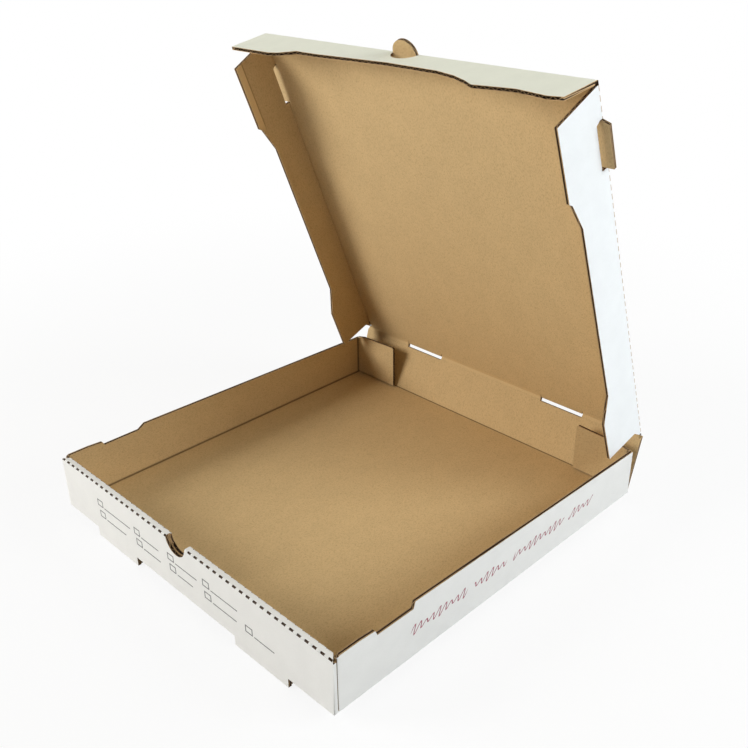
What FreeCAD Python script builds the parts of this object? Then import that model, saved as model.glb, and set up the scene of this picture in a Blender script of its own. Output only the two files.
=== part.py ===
import FreeCAD
import Part
import math
import os

# A pizza box made from one die-cut sheet of corrugated board, standing open.
# Millimetres. X runs along the front wall, Y from front to back, Z up.
# The origin is the middle of the floor's underside.

Vector = FreeCAD.Vector

# The board
SHEET = 3.0                  # thickness of the board
CREASE_GAP = 0.3             # running gap where two panels meet at a crease
CREASE_MITRE = 50.0          # bevel of each panel's inner side at a crease, degrees
BEND_RADIUS = 1.3            # outside radius where the sheet turns over
CORNER_RADIUS = 2.0          # outside radius of the tray's bottom corners

# The tray
WIDTH = 362.0                # outside, left to right
DEPTH = 378.0                # outside, front to back
FRONT_HEIGHT = 50.8          # outer crease of the doubled front wall
FRONT_GAP = 0.4              # space between the two layers of the front wall
FRONT_TAPER = 3.5            # how far the turned-over strip narrows at each end
FOLD_SLIT = 0.4              # open line between the front wall and each side wall
CORNER_FLAP_REACH = 50.0     # front corner flaps, flattened between the two layers
CORNER_FLAP_DROP = 3.5       # their top edge below the front wall's top

# The half-round thumb notch in the front wall
THUMB_NOTCH_RADIUS = 13.0
THUMB_NOTCH_X = -3.0

# Tongues of the floor that stay in line with the front wall, and the lock tabs behind
TONGUE_NEAR = 68.0           # end nearer the middle
TONGUE_FAR = 131.0           # end nearer the corner
TONGUE_DROP = 8.8            # length below the floor, also the depth of the slot it leaves
LOCK_TAB_INSET = 1.0         # each lock tab is this much shorter at both ends

# The side walls' top edge
SIDE_TOP_FRONT = 52.0
SIDE_TOP_START = 50.5        # at the front end
SIDE_TOP_BEFORE_NOTCH = 51.0
SIDE_TOP_REAR = 46.2
VENT_START = 40.0            # from the front face to the notch in the top edge
VENT_LENGTH = 39.0
VENT_TOP_RIGHT = 46.2        # height of the notch's bottom
VENT_TOP_LEFT = 47.6
VENT_SLOPE = 2.0             # its ends lean by this much
VENT_SLOPE_LEFT_REAR = 7.0   # crushed rear end of the left notch

# Rear corner flaps, folded in from the side walls
REAR_FLAP_LENGTH = 56.5
REAR_FLAP_BOTTOM = 4.5
REAR_FLAP_TOP_HINGE = 47.5
REAR_FLAP_TOP_NEAR = 49.5
REAR_FLAP_TOP_FREE = 51.4

# The rear wall and the lid
REAR_SIDE_PLAY = 2.0         # the rear wall is this much narrower at each side
REAR_HEIGHT = 56.4           # from the bottom crease to the top crease
REAR_LEAN = 16.3             # leaning back from upright as it stands, degrees
REAR_SLOT_NEAR = 66.0        # slots in the top crease, from the middle
REAR_SLOT_FAR = 115.0
REAR_SLOT_HEIGHT = 5.5
LID_SIDE_PLAY = 0.6          # between a closed side flap and the side wall
LID_SET_BACK = 16.0          # the closed lid's front fold, behind the tray's front
LID_FOLD = 37.7              # turned forward from the rear wall's line, degrees

# Tabs that stay in the lid's plane
THUMB_TAB_RADIUS = 12.5
THUMB_HOLE_RADIUS = 13.3
SIDE_TAB_SET_BACK = 29.5     # front end, from the lid's front fold
SIDE_TAB_LENGTH = 38.5
SIDE_TAB_REACH = 6.5
SIDE_TAB_SLANT = 2.5
SIDE_HOLE_REACH = 7.5
TAB_CLEARANCE = 0.5          # at each end of a tab

# The lid's flaps
FRONT_FLAP_FOLD = 78.5
LEFT_FLAP_FOLD = 90.0
RIGHT_FLAP_FOLD = 95.0
SIDE_FLAP_DEEP = 45.5        # at both ends of a side flap
SIDE_FLAP_SHALLOW = 35.4     # along its middle
SIDE_FLAP_REAR = 10.5        # rear end, from the rear crease
SIDE_FLAP_ROOT = 3.6         # the same, close to the fold
SIDE_FLAP_FRONT_PLAY = 0.6   # front end at the fold, behind the closed front flap
SIDE_FLAP_TIP_BACK = 11.0    # front end at the free edge, from the lid's front fold
SIDE_FLAP_WIDE_REAR = 45.5   # length of the deep part at the rear, from its end
SIDE_FLAP_WIDE_FRONT = 62.0  # length of the deep part at the front, at the free edge
SIDE_FLAP_SLOPE = 28.0       # length over which the depth changes
FRONT_FLAP_END_PLAY = 0.9    # at the fold, inside the lid's side folds
FRONT_FLAP_TAPER = 1.5       # each end leans in by this much towards the free edge
FRONT_FLAP_DEEP = 41.4
FRONT_FLAP_SHALLOW = 29.3
FRONT_FLAP_LEAST = 24.4      # where the crushed middle is shallowest
LEFT_EAR_LENGTH = 50.0       # deep part at the left end
LEFT_EAR_SLOPE = 24.0
RIGHT_EAR_LENGTH = 76.0      # deep part at the right end, with a crushed dip
RIGHT_EAR_SLOPE = 42.0
RIGHT_EAR_DIP = 40.0         # middle of the dip, from the right end
RIGHT_EAR_PEAK_DEPTH = 40.3
RIGHT_EAR_DIP_DEPTH = 35.5

# Perforated creases
DASH_PITCH = 8.1
DASH_LENGTH = 3.7
DASH_DEPTH = 1.1

# Flutes seen in a cut edge
FLUTE_PITCH = 6.5
LINER = 0.45                 # paper on each face of the board
MEDIUM = 0.5                 # wavy paper between the faces
POCKET_DEPTH = 5.0           # how far the flutes are open from the edge

BEYOND = 3.0                 # how far a cutting solid reaches past what it cuts

X_AXIS = Vector(1, 0, 0)
Y_AXIS = Vector(0, 1, 0)
Z_AXIS = Vector(0, 0, 1)
FRONT_Y = -DEPTH / 2
REAR_Y = DEPTH / 2
SIDE_X = WIDTH / 2
LID_X = SIDE_X - SHEET - LID_SIDE_PLAY
LID_DEPTH = DEPTH - LID_SET_BACK
SIDE_TAB_END = LID_DEPTH - SIDE_TAB_SET_BACK
SIDE_TAB_START = SIDE_TAB_END - SIDE_TAB_LENGTH
STACK = 2 * SHEET + FRONT_GAP


def angled(degrees, first, second):
    """The direction between first and second, turned by degrees away from first."""
    turn = math.radians(degrees)
    return first * math.cos(turn) + second * math.sin(turn)


class Panel:
    """A flat part of the sheet: along and across lie in its outer face, inward points
    through the board to the inner face."""

    def __init__(self, origin, along, across, inward):
        self.origin = origin
        self.along = along
        self.across = across
        self.inward = inward

    def point(self, along, across, inward=0.0):
        return (self.origin + self.along * along + self.across * across
                + self.inward * inward)

    def edges(self, outline, inward):
        """Edges round an outline of (along, across) points. A point of four numbers
        is an arc: a point on the way, then its end."""
        result = []
        last = outline[-1][-2:]
        for corner in outline:
            start = self.point(last[0], last[1], inward)
            end = self.point(corner[-2], corner[-1], inward)
            if len(corner) == 4:
                middle = self.point(corner[0], corner[1], inward)
                result.append(Part.Arc(start, middle, end).toShape())
            else:
                result.append(Part.LineSegment(start, end).toShape())
            last = corner[-2:]
        return result

    def plate(self, outline, start=0.0, end=SHEET):
        """The outline as a solid from depth start to depth end in the board."""
        face = Part.Face(Part.Wire(self.edges(outline, start)))
        return face.extrude(self.inward * (end - start))

    def bar(self, section, start, end):
        """A section of (across, inward) points, drawn out along the panel."""
        points = [self.point(start, across, inward) for across, inward in section]
        face = Part.Face(Part.makePolygon(points + [points[0]]))
        return face.extrude(self.along * (end - start))

    def mitre(self, start, end):
        """What a crease takes from the board, where across is 0 at the crease."""
        lip = CREASE_GAP / 2
        back = lip + SHEET * math.tan(math.radians(CREASE_MITRE))
        section = [(-BEYOND, -BEYOND), (lip, -BEYOND), (lip, 0.0), (back, SHEET),
                   (back, SHEET + BEYOND), (-BEYOND, SHEET + BEYOND)]
        return self.bar(section, start, end)

    def flutes(self, start, end, inner_at, outer_at):
        """Open flutes in a cut edge that crosses them, three-cornered, with their
        points by turns at the outer and the inner face. Each runs across the panel
        from inner_at to outer_at, two functions of the place along it."""
        low = LINER
        high = SHEET - LINER
        half = FLUTE_PITCH / 2 - MEDIUM
        result = []
        count = int((end - start) / (FLUTE_PITCH / 2)) - 1
        first = (start + end) / 2 - (count - 1) * FLUTE_PITCH / 4
        for number in range(count):
            middle = first + number * FLUTE_PITCH / 2
            base, tip = (low, high) if number % 2 else (high, low)
            near = inner_at(middle)
            corners = [(middle - half, base), (middle + half, base), (middle, tip)]
            points = [self.point(along, near, inward) for along, inward in corners]
            face = Part.Face(Part.makePolygon(points + [points[0]]))
            result.append(face.extrude(self.across * (outer_at(middle) - near)))
        return result


def dash_places(start, end):
    """Middles of the dashes that fit between two places, spread evenly about both."""
    count = int((end - start - DASH_LENGTH) / DASH_PITCH) + 1
    first = (start + end) / 2 - (count - 1) * DASH_PITCH / 2
    return [first + number * DASH_PITCH for number in range(count)]


def box(x_start, x_end, y_start, y_end, z_start, z_end):
    return Part.makeBox(x_end - x_start, y_end - y_start, z_end - z_start,
                        Vector(x_start, y_start, z_start))


def fused(shapes):
    return shapes[0].multiFuse(shapes[1:]).removeSplitter()


def single(shape):
    """The one solid that a shape holds."""
    if len(shape.Solids) != 1:
        raise ValueError("expected one solid, found %d" % len(shape.Solids))
    return shape.Solids[0]


def depth_between(stations, along):
    """Depth of an outline at a place along it, from its (along, depth) corners."""
    for (start, low), (end, high) in zip(stations, stations[1:]):
        if start <= along <= end:
            return low + (high - low) * (along - start) / (end - start)
    return stations[0][1] if along < stations[0][0] else stations[-1][1]


# Where each panel lies as the box stands
base = Panel(Vector(0, REAR_Y, 0), X_AXIS, -Y_AXIS, Z_AXIS)
rear_up = angled(REAR_LEAN, Z_AXIS, Y_AXIS)
rear_in = angled(REAR_LEAN, -Y_AXIS, Z_AXIS)
rear = Panel(Vector(0, REAR_Y, 0), X_AXIS, rear_up, rear_in)
lid_out = angled(LID_FOLD, rear_up, rear_in)
lid_in = angled(LID_FOLD, rear_in, -rear_up)
lid = Panel(rear.point(0, REAR_HEIGHT), X_AXIS, lid_out, lid_in)
front_flap = Panel(lid.point(0, LID_DEPTH), X_AXIS,
                   angled(FRONT_FLAP_FOLD, lid_out, lid_in),
                   angled(FRONT_FLAP_FOLD, lid_in, -lid_out))


def side_flap_panel(side, fold):
    """side is 1 on the right and -1 on the left."""
    outward = X_AXIS * side
    return Panel(lid.point(side * LID_X, 0), lid_out,
                 angled(fold, outward, lid_in), angled(fold, lid_in, -outward))


def front_double_wall():
    """The front wall, the strip that turns over its top and the inner layer."""
    inner_y = FRONT_Y + STACK
    top = FRONT_HEIGHT
    bend = BEND_RADIUS
    bow = bend * (1 - math.sqrt(0.5))
    section = Panel(Vector(-SIDE_X, 0, 0), Y_AXIS, Z_AXIS, X_AXIS)
    outline = [
        (FRONT_Y, 0), (FRONT_Y, top - bend),
        (FRONT_Y + bow, top - bow, FRONT_Y + bend, top),
        (inner_y - bend, top),
        (inner_y - bow, top - bow, inner_y, top - bend),
        (inner_y, SHEET), (inner_y - SHEET, SHEET),
        (inner_y - SHEET, top - SHEET), (FRONT_Y + SHEET, top - SHEET),
        (FRONT_Y + SHEET, 0)]
    wall = section.plate(outline, 0, WIDTH)
    flat = Panel(Vector(0, 0, 0), X_AXIS, Y_AXIS, Z_AXIS)
    cuts = []
    for side in (-1, 1):
        end = side * SIDE_X
        inside = side * (SIDE_X - SHEET)
        narrow = side * (SIDE_X - SHEET - FRONT_TAPER)
        past = side * (SIDE_X + BEYOND)
        behind = [(inside, FRONT_Y + SHEET), (past, FRONT_Y + SHEET),
                  (past, inner_y + BEYOND), (narrow, inner_y + BEYOND),
                  (narrow, inner_y)]
        cuts.append(flat.plate(behind, -BEYOND, top + BEYOND))
        above = [(end, FRONT_Y), (past, FRONT_Y), (past, FRONT_Y + SHEET),
                 (inside, FRONT_Y + SHEET)]
        cuts.append(flat.plate(above, top - SHEET, top + BEYOND))
    for middle in dash_places(-SIDE_X, SIDE_X):
        start = middle - DASH_LENGTH / 2
        end = middle + DASH_LENGTH / 2
        cuts.append(box(start, end, FRONT_Y - BEYOND, FRONT_Y + DASH_DEPTH,
                        top - DASH_DEPTH, top + BEYOND))
        if abs(middle) < SIDE_X - SHEET - FRONT_TAPER - DASH_LENGTH:
            cuts.append(box(start, end, inner_y - DASH_DEPTH, inner_y + BEYOND,
                            top - DASH_DEPTH, top + BEYOND))
    return wall.cut(Part.makeCompound(cuts))


def thumb_notch_flutes():
    """Flutes opened by the thumb notch, in both layers of the front wall."""
    reach = THUMB_NOTCH_RADIUS - FLUTE_PITCH / 4

    def pocket_end(along):
        inside = THUMB_NOTCH_RADIUS ** 2 - (along - THUMB_NOTCH_X) ** 2
        return math.sqrt(max(inside, 0.0)) + POCKET_DEPTH

    result = []
    for depth in (0.0, SHEET + FRONT_GAP):
        layer = Panel(Vector(0, FRONT_Y + depth, FRONT_HEIGHT), X_AXIS, -Z_AXIS, Y_AXIS)
        result += layer.flutes(THUMB_NOTCH_X - reach, THUMB_NOTCH_X + reach,
                               lambda along: 0.0, pocket_end)
    return result


def side_wall(side):
    """A side wall with the notch in its top edge, and a groove between its faces."""
    start = SHEET + FOLD_SLIT
    end = DEPTH - SHEET - CREASE_GAP
    vent_top = VENT_TOP_RIGHT if side > 0 else VENT_TOP_LEFT
    rear_slope = VENT_SLOPE if side > 0 else VENT_SLOPE_LEFT_REAR
    vent_end = VENT_START + VENT_LENGTH
    top = [(start, SIDE_TOP_START), (start + SHEET, SIDE_TOP_FRONT),
           (VENT_START * 0.65, SIDE_TOP_FRONT), (VENT_START, SIDE_TOP_BEFORE_NOTCH),
           (VENT_START + VENT_SLOPE, vent_top), (vent_end, vent_top),
           (vent_end + rear_slope, SIDE_TOP_FRONT), (end, SIDE_TOP_REAR)]
    panel = Panel(Vector(side * SIDE_X, FRONT_Y, 0), Y_AXIS, Z_AXIS, X_AXIS * -side)
    wall = panel.plate([(start, 0)] + top + [(end, 0)])
    round_end = wall.makeFillet(BEND_RADIUS, [
        edge for edge in wall.Edges
        if edge.BoundBox.XLength + edge.BoundBox.YLength < 0.01
        and abs(edge.BoundBox.YMin - FRONT_Y - start) < 0.01
        and abs(edge.BoundBox.XMin - side * SIDE_X) < 0.01])
    groove = []
    for (near, low), (far, high) in zip(top, top[1:]):
        if far - near > FLUTE_PITCH:
            dip = [(near, low - SHEET / 2), (far, high - SHEET / 2),
                   (far, high + BEYOND), (near, low + BEYOND)]
            groove.append(panel.plate(dip, SHEET / 2 - MEDIUM, SHEET / 2 + MEDIUM))
    return round_end.cut(Part.makeCompound(groove))


def rear_corner_flap(side):
    """Folded in from the side wall, it stands in front of the rear wall."""
    inside = SIDE_X - SHEET
    free = inside - REAR_FLAP_LENGTH
    back = REAR_Y - SHEET - CREASE_GAP
    panel = Panel(Vector(0, back, 0), X_AXIS * side, Z_AXIS, -Y_AXIS)
    outline = [(inside + SHEET / 2, REAR_FLAP_BOTTOM + SHEET), (inside, REAR_FLAP_BOTTOM),
               (free, REAR_FLAP_BOTTOM), (free, REAR_FLAP_TOP_FREE - SHEET / 2),
               (free + SHEET / 2, REAR_FLAP_TOP_FREE),
               (inside - 3 * SHEET, REAR_FLAP_TOP_NEAR), (inside, REAR_FLAP_TOP_HINGE),
               (inside + SHEET / 2, REAR_FLAP_TOP_HINGE - SHEET)]
    flap = panel.plate(outline)
    upright = Panel(panel.point(free, 0), Z_AXIS, X_AXIS * -side, -Y_AXIS)
    holes = upright.flutes(REAR_FLAP_BOTTOM, REAR_FLAP_TOP_FREE,
                           lambda along: -POCKET_DEPTH, lambda along: BEYOND)
    return flap.cut(Part.makeCompound(holes))


def tray():
    """Floor, walls and their corner flaps, all in one piece of board."""
    slot_end = FRONT_Y + SHEET + TONGUE_DROP
    floor = box(-SIDE_X, SIDE_X, FRONT_Y, REAR_Y, 0, SHEET)
    front = front_double_wall()
    inner_y = FRONT_Y + STACK - SHEET
    parts = [front]
    slots = []
    for side in (-1, 1):
        near = side * TONGUE_NEAR
        far = side * TONGUE_FAR
        low, high = min(near, far), max(near, far)
        slots.append(box(low, high, FRONT_Y + SHEET, slot_end, -BEYOND, SHEET))
        parts.append(box(low, high, FRONT_Y, FRONT_Y + SHEET, -TONGUE_DROP, SHEET))
        parts.append(box(low + LOCK_TAB_INSET, high - LOCK_TAB_INSET, inner_y,
                         inner_y + SHEET, -TONGUE_DROP, 2 * SHEET))
        outer = side * (SIDE_X - SHEET / 2)
        inner = side * (SIDE_X - SHEET - CORNER_FLAP_REACH)
        low, high = min(outer, inner), max(outer, inner)
        parts.append(box(low, high, FRONT_Y + SHEET, inner_y, SHEET,
                         FRONT_HEIGHT - CORNER_FLAP_DROP))
        parts.append(side_wall(side))
        parts.append(rear_corner_flap(side))
    edges = [edge for edge in floor.Edges
             if abs(edge.BoundBox.ZMax) < 0.01 and edge.BoundBox.YLength > 1]
    floor = floor.makeFillet(CORNER_RADIUS, edges)
    floor = floor.cut(Part.makeCompound(slots + [base.mitre(-SIDE_X, SIDE_X)]))
    body = fused([floor] + parts)
    notch = Part.makeCylinder(THUMB_NOTCH_RADIUS, STACK + 2 * BEYOND,
                              Vector(THUMB_NOTCH_X, FRONT_Y - BEYOND, FRONT_HEIGHT),
                              Y_AXIS)
    rounding = []
    for side in (-1, 1):
        square = box(SIDE_X - CORNER_RADIUS, SIDE_X + BEYOND, FRONT_Y - BEYOND,
                     REAR_Y + BEYOND, -BEYOND, CORNER_RADIUS)
        core = Part.makeCylinder(CORNER_RADIUS, DEPTH + 2 * BEYOND,
                                 Vector(SIDE_X - CORNER_RADIUS, FRONT_Y - BEYOND,
                                        CORNER_RADIUS), Y_AXIS)
        corner = square.cut(core)
        if side < 0:
            corner = corner.mirror(Vector(0, 0, 0), X_AXIS)
        rounding.append(corner)
    return body.cut(Part.makeCompound([notch] + thumb_notch_flutes() + rounding))


def rear_wall():
    half = SIDE_X - REAR_SIDE_PLAY
    wall = rear.plate([(-half, 0), (half, 0), (half, REAR_HEIGHT), (-half, REAR_HEIGHT)])
    top = Panel(rear.point(0, REAR_HEIGHT), X_AXIS, -rear_up, rear_in)
    cuts = [rear.mitre(-half - BEYOND, half + BEYOND),
            top.mitre(-half - BEYOND, half + BEYOND)]
    for side in (-1, 1):
        low, high = sorted((side * REAR_SLOT_NEAR, side * REAR_SLOT_FAR))
        cuts.append(top.plate([(low, -BEYOND), (high, -BEYOND), (high, REAR_SLOT_HEIGHT),
                               (low, REAR_SLOT_HEIGHT)], -BEYOND, SHEET + BEYOND))
    return wall.cut(Part.makeCompound(cuts))


def lid_top():
    """The lid's flat top with the tabs that stay in its plane."""
    tip = SIDE_TAB_END - SIDE_TAB_SLANT
    outline = [(-LID_X, 0), (LID_X, 0), (LID_X, SIDE_TAB_START),
               (LID_X + SIDE_TAB_REACH, SIDE_TAB_START),
               (LID_X + SIDE_TAB_REACH, tip), (LID_X, SIDE_TAB_END),
               (LID_X, LID_DEPTH), (THUMB_TAB_RADIUS, LID_DEPTH),
               (0, LID_DEPTH + THUMB_TAB_RADIUS, -THUMB_TAB_RADIUS, LID_DEPTH),
               (-LID_X, LID_DEPTH), (-LID_X, SIDE_TAB_END),
               (-LID_X - SIDE_TAB_REACH, tip),
               (-LID_X - SIDE_TAB_REACH, SIDE_TAB_START), (-LID_X, SIDE_TAB_START)]
    top = lid.plate(outline)
    beyond = LID_X + BEYOND
    cuts = [lid.plate([(-beyond, -BEYOND), (beyond, -BEYOND), (beyond, CREASE_GAP / 2),
                       (-beyond, CREASE_GAP / 2)], -BEYOND, SHEET + BEYOND)]
    near = REAR_SLOT_NEAR + TAB_CLEARANCE
    far = REAR_SLOT_FAR - TAB_CLEARANCE
    for start, end in ((-beyond, -far), (-near, near), (far, beyond)):
        cuts.append(lid.mitre(start, end))
    for side in (-1, 1):
        edge = Panel(lid.point(side * LID_X, 0), lid_out, X_AXIS * -side, lid_in)
        cuts.append(edge.mitre(-BEYOND, SIDE_TAB_START))
        cuts.append(edge.mitre(SIDE_TAB_END, LID_DEPTH + BEYOND))
        low, high = sorted((side * THUMB_TAB_RADIUS, side * (LID_X + BEYOND)))
        front = Panel(lid.point(0, LID_DEPTH), X_AXIS, -lid_out, lid_in)
        cuts.append(front.mitre(low, high))
    return top.cut(Part.makeCompound(cuts))


def lid_side_flap(side, fold):
    """A side flap, with the hole that its tab leaves at the fold."""
    panel = side_flap_panel(side, fold)
    deep = SIDE_FLAP_DEEP
    shallow = SIDE_FLAP_SHALLOW
    rear_wide = SIDE_FLAP_REAR + SIDE_FLAP_WIDE_REAR
    rear_shallow = rear_wide + SIDE_FLAP_SLOPE
    tip = LID_DEPTH - SIDE_FLAP_TIP_BACK
    front_wide = tip - SIDE_FLAP_WIDE_FRONT
    front_shallow = front_wide - SIDE_FLAP_SLOPE
    front_end = LID_DEPTH - SHEET - SIDE_FLAP_FRONT_PLAY
    outline = [(SIDE_FLAP_ROOT, 0), (SIDE_FLAP_ROOT, SHEET),
               (SIDE_FLAP_REAR, 3 * SHEET), (SIDE_FLAP_REAR, deep), (rear_wide, deep),
               ((rear_wide + rear_shallow) / 2, (deep + shallow) / 2),
               (rear_shallow, shallow), (front_shallow, shallow),
               (front_wide - SHEET, deep - SHEET), (front_wide, deep), (tip, deep),
               (front_end, SHEET), (front_end, 0)]
    flap = panel.plate(outline)
    start = SIDE_TAB_START - TAB_CLEARANCE
    end = SIDE_TAB_END + TAB_CLEARANCE
    hole = [(start, -BEYOND), (end, -BEYOND), (end, SHEET + TAB_CLEARANCE),
            (end - SIDE_TAB_SLANT, SIDE_HOLE_REACH), (start, SIDE_HOLE_REACH)]
    cuts = [panel.mitre(-BEYOND, DEPTH), panel.plate(hole, -BEYOND, SHEET + BEYOND)]
    for near, far, depth in ((rear_shallow, front_shallow, shallow),
                             (front_wide, tip, deep)):
        cuts.append(panel.plate([(near, depth - SHEET / 2), (far, depth - SHEET / 2),
                                 (far, depth + BEYOND), (near, depth + BEYOND)],
                                SHEET / 2 - MEDIUM, SHEET / 2 + MEDIUM))
    return flap.cut(Part.makeCompound(cuts))


def lid_front_flap():
    """The front flap, deep at both ends, with a shallow, crushed middle."""
    root = LID_X - FRONT_FLAP_END_PLAY
    end = root - FRONT_FLAP_TAPER
    left = LEFT_EAR_LENGTH - end
    right = end - RIGHT_EAR_LENGTH
    right_low = right - RIGHT_EAR_SLOPE
    dip = end - RIGHT_EAR_DIP
    deep = FRONT_FLAP_DEEP
    shallow = FRONT_FLAP_SHALLOW
    left_low = left + LEFT_EAR_SLOPE
    middle = (shallow + RIGHT_EAR_PEAK_DEPTH) / 2
    free_edge = [(-end, deep), (left, deep),
                 (left + 0.4 * LEFT_EAR_SLOPE, deep - 0.2 * (deep - shallow)),
                 (left_low, shallow), (left_low + LEFT_EAR_SLOPE, shallow),
                 (0, FRONT_FLAP_LEAST), (right_low - SHEET, FRONT_FLAP_LEAST + 1),
                 (right - 0.6 * RIGHT_EAR_SLOPE, shallow),
                 (right - 0.25 * RIGHT_EAR_SLOPE, middle),
                 (right, RIGHT_EAR_PEAK_DEPTH), (dip, RIGHT_EAR_DIP_DEPTH),
                 (end - 4 * SHEET, RIGHT_EAR_PEAK_DEPTH - SHEET / 2),
                 (end, RIGHT_EAR_DIP_DEPTH + SHEET / 3)]
    outline = [(root, 0), (-root, 0), (-root, SHEET)] + free_edge + [(root, SHEET)]
    flap = front_flap.plate(outline)
    cuts = [front_flap.mitre(-root - BEYOND, root + BEYOND)]
    cuts.append(Part.makeCylinder(
        THUMB_HOLE_RADIUS, SHEET + 2 * BEYOND,
        front_flap.point(0, 0, -BEYOND), front_flap.inward))
    cuts += front_flap.flutes(
        -end, end,
        lambda along: depth_between(free_edge, along) - POCKET_DEPTH,
        lambda along: FRONT_FLAP_DEEP + BEYOND)
    return flap.cut(Part.makeCompound(cuts))


pieces = {
    "tray": tray(),
    "rear_wall": rear_wall(),
    "lid": lid_top(),
    "lid_front_flap": lid_front_flap(),
    "lid_left_flap": lid_side_flap(-1, LEFT_FLAP_FOLD),
    "lid_right_flap": lid_side_flap(1, RIGHT_FLAP_FOLD),
}

os.makedirs("parts", exist_ok=True)
for name, shape in pieces.items():
    solid = single(shape)
    if not solid.isValid():
        raise ValueError("%s is not valid" % name)
    solid.exportStep("parts/%s.step" % name)
    print(name, round(solid.Volume / 1000.0, 2), "cm3", len(solid.Faces), "faces")
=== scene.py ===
import math

import bpy
from bpy.props import FloatProperty, FloatVectorProperty, PointerProperty
from mathutils import Matrix, Vector


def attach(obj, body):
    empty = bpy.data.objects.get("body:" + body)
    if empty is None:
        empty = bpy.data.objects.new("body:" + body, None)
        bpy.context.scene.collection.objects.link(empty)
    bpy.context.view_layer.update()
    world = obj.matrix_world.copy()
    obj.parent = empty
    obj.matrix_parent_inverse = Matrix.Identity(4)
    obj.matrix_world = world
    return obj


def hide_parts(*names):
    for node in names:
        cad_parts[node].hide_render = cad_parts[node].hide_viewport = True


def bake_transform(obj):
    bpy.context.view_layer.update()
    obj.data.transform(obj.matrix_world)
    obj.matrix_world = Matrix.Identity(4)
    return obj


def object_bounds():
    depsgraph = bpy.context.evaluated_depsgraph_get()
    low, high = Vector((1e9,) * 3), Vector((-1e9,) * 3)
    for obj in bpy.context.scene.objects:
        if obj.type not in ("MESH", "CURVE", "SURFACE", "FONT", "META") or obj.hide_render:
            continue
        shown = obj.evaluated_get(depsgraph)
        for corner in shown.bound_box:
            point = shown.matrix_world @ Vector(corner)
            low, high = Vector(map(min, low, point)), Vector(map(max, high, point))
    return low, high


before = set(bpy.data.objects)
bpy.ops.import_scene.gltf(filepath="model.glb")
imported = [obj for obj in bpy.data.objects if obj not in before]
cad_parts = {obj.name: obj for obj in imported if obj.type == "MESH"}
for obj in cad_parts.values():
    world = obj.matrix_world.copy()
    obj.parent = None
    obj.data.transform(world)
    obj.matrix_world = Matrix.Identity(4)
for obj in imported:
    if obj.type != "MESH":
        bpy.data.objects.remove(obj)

bl_info = {
    "name": "Pizza box dress",
    "version": (1, 0, 0),
    "blender": (4, 5, 0),
    "location": "3D View > Sidebar > Pizza box",
    "description": "Dresses a packed corrugated pizza box and sets it on a studio floor",
    "category": "Object",
}

CAD_BOX = [list(corner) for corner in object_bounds()]
MM = 0.001


# Settings

class BoardSettings(bpy.types.PropertyGroup):
    sheet: FloatProperty(
        name="Sheet", description="Thickness of the board",
        default=3.0 * MM, unit="LENGTH")
    liner: FloatProperty(
        name="Liner", description="Thickness of the paper that shows in a cut edge",
        default=0.5 * MM, unit="LENGTH")
    pitch: FloatProperty(
        name="Flute pitch", description="From one flute of the medium to the next",
        default=6.5 * MM, unit="LENGTH")
    white: FloatVectorProperty(
        name="White liner", description="Colour of the outer paper",
        default=(0.838, 0.830, 0.808), subtype="COLOR", min=0, max=1)
    shaded: FloatVectorProperty(
        name="Yellowed liner", description="Colour of the lid's front flap, outside",
        default=(0.930, 0.935, 0.805), subtype="COLOR", min=0, max=1)
    bright: FloatVectorProperty(
        name="Bright liner", description="Colour of the lid's side flaps, outside",
        default=(0.885, 0.900, 0.910), subtype="COLOR", min=0, max=1)
    kraft: FloatVectorProperty(
        name="Kraft liner", description="Colour of the inner paper",
        default=(0.612, 0.434, 0.216), subtype="COLOR", min=0, max=1)
    kraft_dark: FloatVectorProperty(
        name="Kraft flecks", description="Colour of the darker fibres in the kraft paper",
        default=(0.330, 0.200, 0.080), subtype="COLOR", min=0, max=1)
    cut: FloatVectorProperty(
        name="Cut paper", description="Colour of the paper layers in a cut edge",
        default=(0.400, 0.260, 0.130), subtype="COLOR", min=0, max=1)
    hollow: FloatVectorProperty(
        name="Hollow", description="Colour inside the flutes",
        default=(0.045, 0.024, 0.012), subtype="COLOR", min=0, max=1)


class PrintSettings(bpy.types.PropertyGroup):
    ink: FloatVectorProperty(
        name="Ink", description="Colour of the tick boxes on the front wall",
        default=(0.045, 0.045, 0.050), subtype="COLOR", min=0, max=1)
    red: FloatVectorProperty(
        name="Red ink", description="Colour of the wavy lines on the right wall",
        default=(0.290, 0.035, 0.070), subtype="COLOR", min=0, max=1)
    tick_width: FloatProperty(
        name="Tick box width", description="Width of a tick box",
        default=7.8 * MM, unit="LENGTH")
    tick_height: FloatProperty(
        name="Tick box height", description="Height of a tick box",
        default=5.8 * MM, unit="LENGTH")
    stroke: FloatProperty(
        name="Stroke", description="Thickness of the printed lines",
        default=1.05 * MM, unit="LENGTH")
    wave_height: FloatProperty(
        name="Wave height", description="Middle of the wavy lines above the floor",
        default=26.0 * MM, unit="LENGTH")


class StageSettings(bpy.types.PropertyGroup):
    ambient: FloatProperty(
        name="Ambient", description="Strength of the light from all round",
        default=0.04, min=0)
    front_lamp: FloatProperty(
        name="Front lamp", description="Power of the large lamp at the front left",
        default=46.0, min=0)
    rear_lamp: FloatProperty(
        name="Rear lamp", description="Power of the lamp behind the right-hand side",
        default=19.5, min=0)
    right_lamp: FloatProperty(
        name="Right lamp", description="Power of the lamp on the right",
        default=8.0, min=0)
    top_lamp: FloatProperty(
        name="Top lamp", description="Power of the warm lamp overhead",
        default=7.6, min=0)
    back_lamp: FloatProperty(
        name="Back lamp", description="Power of the lamp behind the lid",
        default=12.0, min=0)
    floor: FloatVectorProperty(
        name="Floor", description="Colour of the studio floor",
        default=(0.90, 0.90, 0.90), subtype="COLOR", min=0, max=1)
    lens: FloatProperty(
        name="Lens", description="Focal length of the camera, in millimetres",
        default=45.23, min=1)


# The board's sizes and panels

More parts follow.
